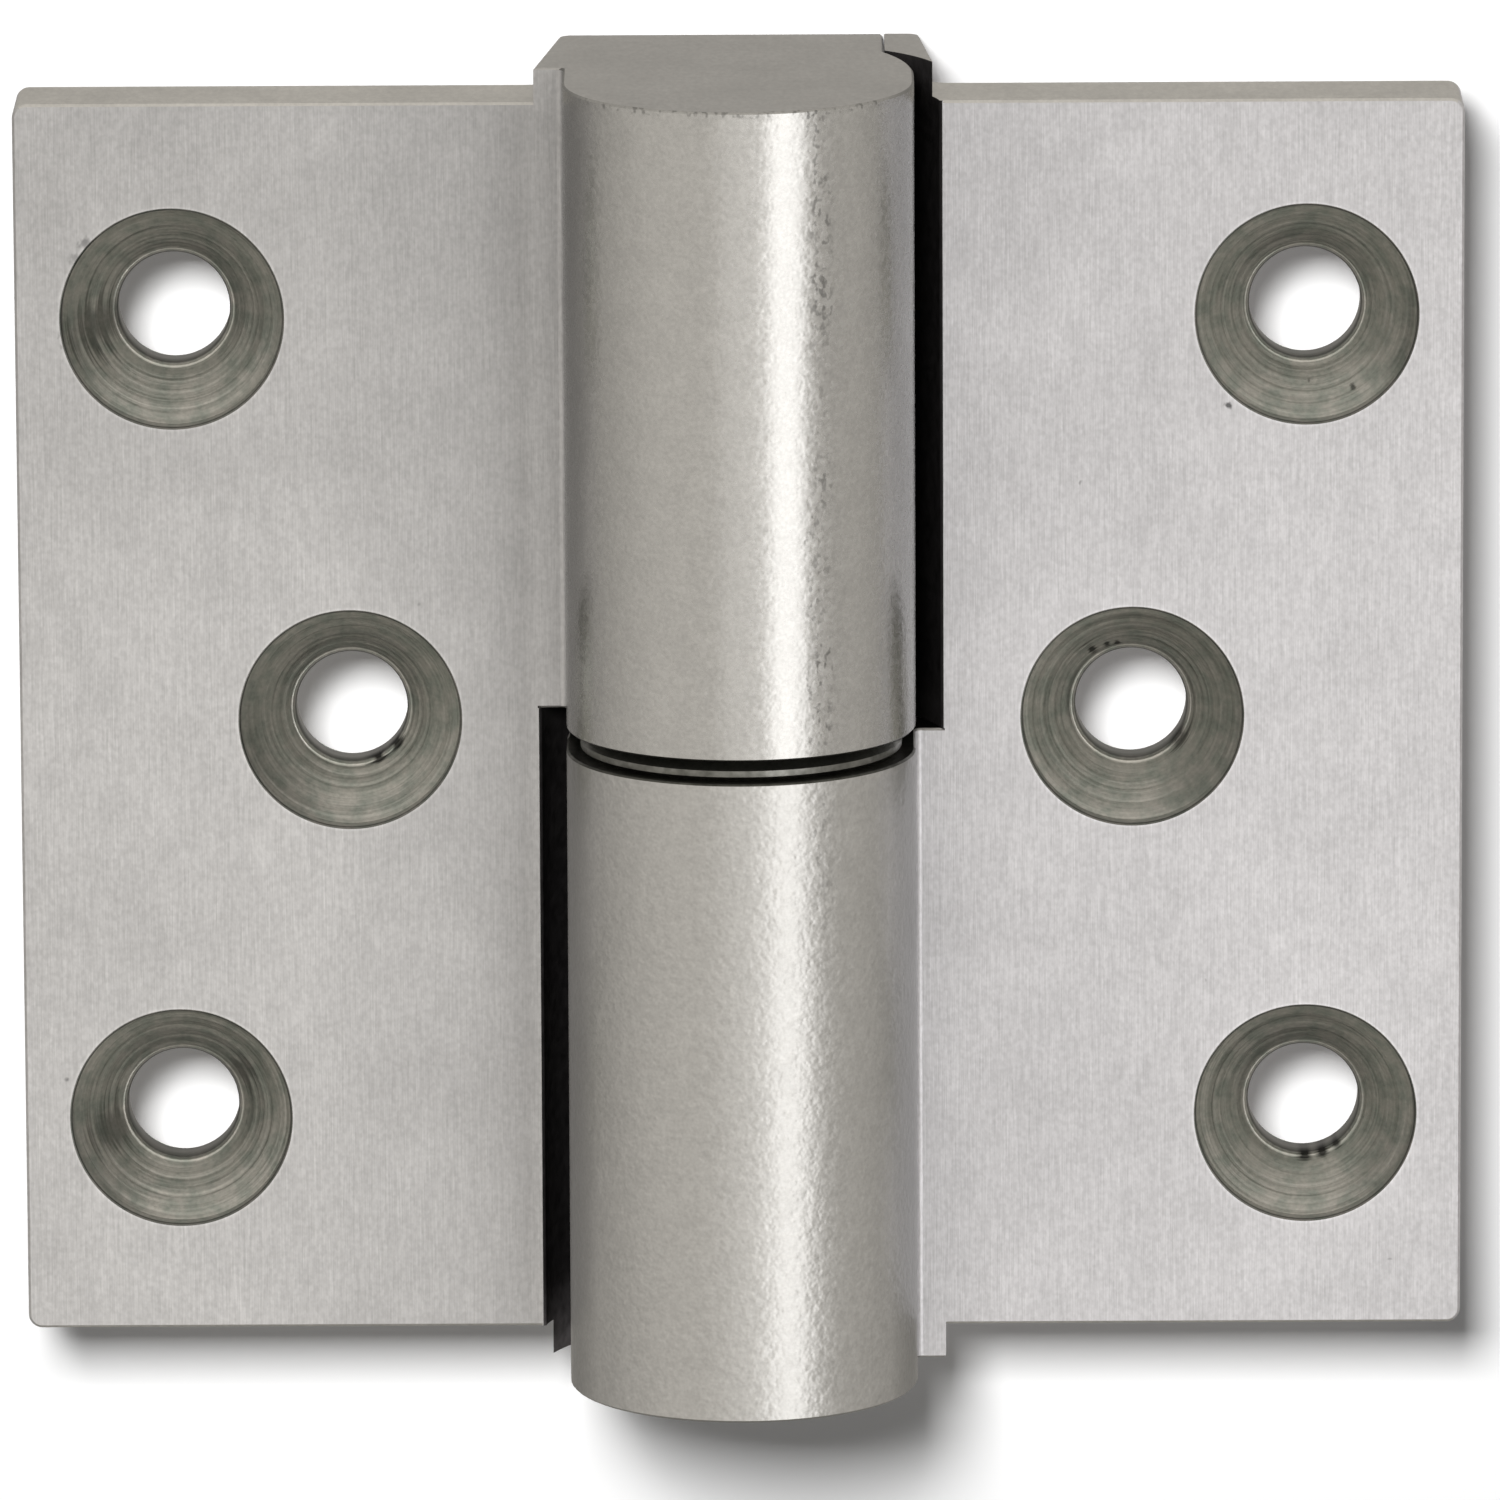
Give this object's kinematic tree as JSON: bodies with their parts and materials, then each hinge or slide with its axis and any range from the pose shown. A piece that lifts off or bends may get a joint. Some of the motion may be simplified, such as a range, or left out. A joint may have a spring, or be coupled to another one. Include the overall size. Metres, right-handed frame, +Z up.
{
  "type": "lift-off paumelle hinge",
  "caption": "Flat lift-off door hinge with thick screw-on leaves, stacked round knuckles on a pressed pin, and a washer between them.",
  "frame": {"origin": "centre of the whole hinge's box, with the leaves opened flat; the pin's axis stands at y = -3 mm", "axes": "+X along the leaves towards the frame leaf, +Y from the countersunk side to the back, +Z up along the pin"},
  "size_m": [0.083, 0.026, 0.076],
  "materials": {
    "leaf_steel": "drawn and ground, satin",
    "pin_steel": "ground",
    "washer_steel": "turned"
  },
  "bodies": {
    "frame_side": {"frame_leaf": "leaf_steel", "hinge_pin": "pin_steel"},
    "washer": {"thrust_washer": "washer_steel"},
    "door_side": {"door_leaf": "leaf_steel"}
  },
  "joints": [
    {"name": "leaf_swing", "type": "hinge", "parent": "frame_side", "child": "washer", "pos_m": [0, -0.003, 0], "axis": [0, 0, 1], "range_deg": [0, 180]},
    {"name": "lift_off", "type": "slide", "parent": "washer", "child": "door_side", "axis": [0, 0, 1], "range_m": [0, 0.032]}
  ]
}
